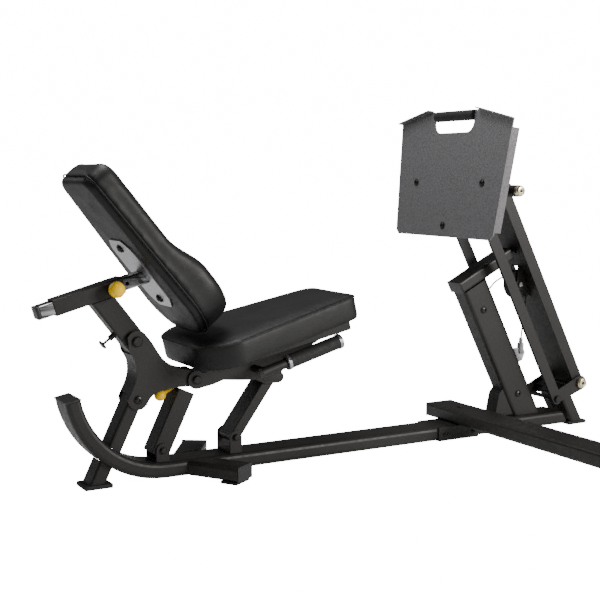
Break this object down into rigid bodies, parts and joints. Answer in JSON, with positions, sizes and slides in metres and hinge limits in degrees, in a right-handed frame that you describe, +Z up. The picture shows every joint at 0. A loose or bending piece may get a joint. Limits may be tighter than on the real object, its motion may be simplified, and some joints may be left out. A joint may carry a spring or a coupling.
{
  "type": "leg press machine",
  "caption": "Seated leg press machine: padded reclining seat on a low black rail frame, foot plate on parallel swing arms with a cable and pulley.",
  "frame": {"origin": "on the floor, under the centre of the rear foot pad, in the machine's middle plane", "axes": "+X along the rail from the seat to the foot plate, +Y away from the side mounting plate, +Z up"},
  "size_m": [2.1408, 1.2323, 1.1922],
  "materials": {
    "black_powder_coat": "satin powder coat, fine texture",
    "black_hardware": "black oxide with a light sheen",
    "black_rubber": "moulded, matt",
    "black_plastic": "moulded, faint texture",
    "black_vinyl": "grained upholstery vinyl with piping",
    "yellow_knob": "glossy",
    "chrome_tube": "polished",
    "silver_plate": "satin zinc",
    "zinc_swivel": "zinc plated",
    "gold_axle": "pale gold passivated, satin",
    "silver_hammertone": "silver grey hammertone enamel"
  },
  "bodies": {
    "base": {"main_rail": "black_powder_coat", "rear_leg": "black_powder_coat", "front_leg_near": "black_powder_coat", "front_leg_far": "black_powder_coat", "seat_upright": "black_powder_coat", "gusset_plate_near": "black_powder_coat", "gusset_plate_far": "black_powder_coat", "gusset_web": "black_powder_coat", "seat_brace": "black_powder_coat", "brace_clevis": "black_powder_coat", "link_clevis": "black_powder_coat", "cross_tube": "black_powder_coat", "side_mount_plate": "black_powder_coat", "rail_bracket": "black_powder_coat", "press_base_rail": "black_powder_coat", "right_leg": "black_powder_coat", "post": "black_powder_coat", "stop_tube": "black_powder_coat", "link_plate_near": "black_powder_coat", "link_plate_far": "black_powder_coat", "brace_bolt": "black_hardware", "link_bolt": "black_hardware", "mast_pivot_bolt": "black_hardware", "seat_pivot_bolt": "black_hardware", "front_axle": "black_hardware", "rear_foot_pad": "black_rubber", "front_leg_near_pad": "black_rubber", "front_leg_far_pad": "black_rubber", "right_foot_pad": "black_rubber", "stop_bumper": "black_rubber", "tail_end_cap": "black_plastic", "cable": "black_plastic", "cable_swivel": "zinc_swivel", "lower_axle": "gold_axle"},
    "back_mast": {"back_mast": "black_powder_coat", "adjuster_sleeve": "black_powder_coat"},
    "back_rest": {"adjuster_tube": "chrome_tube", "back_leaf": "silver_plate", "back_board": "black_plastic", "back_pad": "black_vinyl"},
    "sleeve_pin": {"sleeve_pin": "yellow_knob"},
    "mast_pin": {"mast_pin": "black_plastic"},
    "seat_pin": {"seat_pin": "yellow_knob"},
    "seat": {"seat_frame": "black_powder_coat", "seat_pad": "black_vinyl", "handle_spool_near": "silver_plate", "handle_spool_far": "silver_plate", "handle_grip_near": "black_rubber", "handle_grip_far": "black_rubber"},
    "front_link": {"front_link": "black_powder_coat"},
    "back_arm": {"back_arm": "black_powder_coat", "pulley_bolt": "silver_plate"},
    "pulley": {"pulley": "black_plastic"},
    "front_arms": {"front_arm_near": "black_powder_coat", "front_arm_far": "black_powder_coat"},
    "carriage": {"carriage": "black_powder_coat", "upper_axle": "gold_axle", "carriage_axle": "black_hardware", "foot_plate": "silver_hammertone", "foot_handle": "black_rubber"}
  },
  "joints": [
    {"name": "back_mast_tilt", "type": "hinge", "parent": "base", "child": "back_mast", "pos_m": [0.13, 0, 0.449], "axis": [0, 1, 0], "range_deg": [-8, 0]},
    {"name": "back_slide", "type": "slide", "parent": "back_mast", "child": "back_rest", "axis": [0.9636, 0, 0.2672], "range_m": [-0.05, 0.05]},
    {"name": "seat_tilt", "type": "hinge", "parent": "base", "child": "seat", "pos_m": [0.325, 0, 0.314], "axis": [0, 1, 0], "range_deg": [-3, 3]},
    {"name": "front_link_swing", "type": "hinge", "parent": "base", "child": "front_link", "pos_m": [0.462, 0, 0.113], "axis": [0, 1, 0], "range_deg": [-6.2, 6.2]},
    {"name": "sleeve_pin_pull", "type": "slide", "parent": "back_mast", "child": "sleeve_pin", "axis": [0, -1, 0], "range_m": [0, 0.012], "stiffness_N_per_m": 600, "springref_m": -0.008},
    {"name": "mast_pin_pull", "type": "slide", "parent": "back_mast", "child": "mast_pin", "axis": [-0.7923, 0, -0.6101], "range_m": [0, 0.012], "stiffness_N_per_m": 600, "springref_m": -0.008},
    {"name": "seat_pin_pull", "type": "slide", "parent": "base", "child": "seat_pin", "axis": [-0.9099, 0, -0.4149], "range_m": [0, 0.01], "stiffness_N_per_m": 600, "springref_m": -0.008},
    {"name": "back_arm_swing", "type": "hinge", "parent": "base", "child": "back_arm", "pos_m": [1.909, 0, 0.168], "axis": [0, 1, 0], "range_deg": [0, 28], "deforming": ["cable"]},
    {"name": "front_arm_swing", "type": "hinge", "parent": "base", "child": "front_arms", "pos_m": [1.783, 0, 0.119], "axis": [0, 1, 0], "range_deg": [0, 28]},
    {"name": "carriage_level", "type": "hinge", "parent": "back_arm", "child": "carriage", "pos_m": [1.53061, 0, 0.90111], "axis": [0, 1, 0], "range_deg": [-28, 0]},
    {"name": "pulley_spin", "type": "hinge", "parent": "back_arm", "child": "pulley", "pos_m": [1.657, 0, 0.552], "axis": [0, 1, 0], "range_deg": [-2, 230]}
  ],
  "couplings": [
    {"joint": "front_link_swing", "follows": "seat_tilt", "ratio": 2.02},
    {"joint": "front_arm_swing", "follows": "back_arm_swing", "ratio": 1},
    {"joint": "carriage_level", "follows": "back_arm_swing", "ratio": -1},
    {"joint": "pulley_spin", "follows": "back_arm_swing", "ratio": 8}
  ]
}
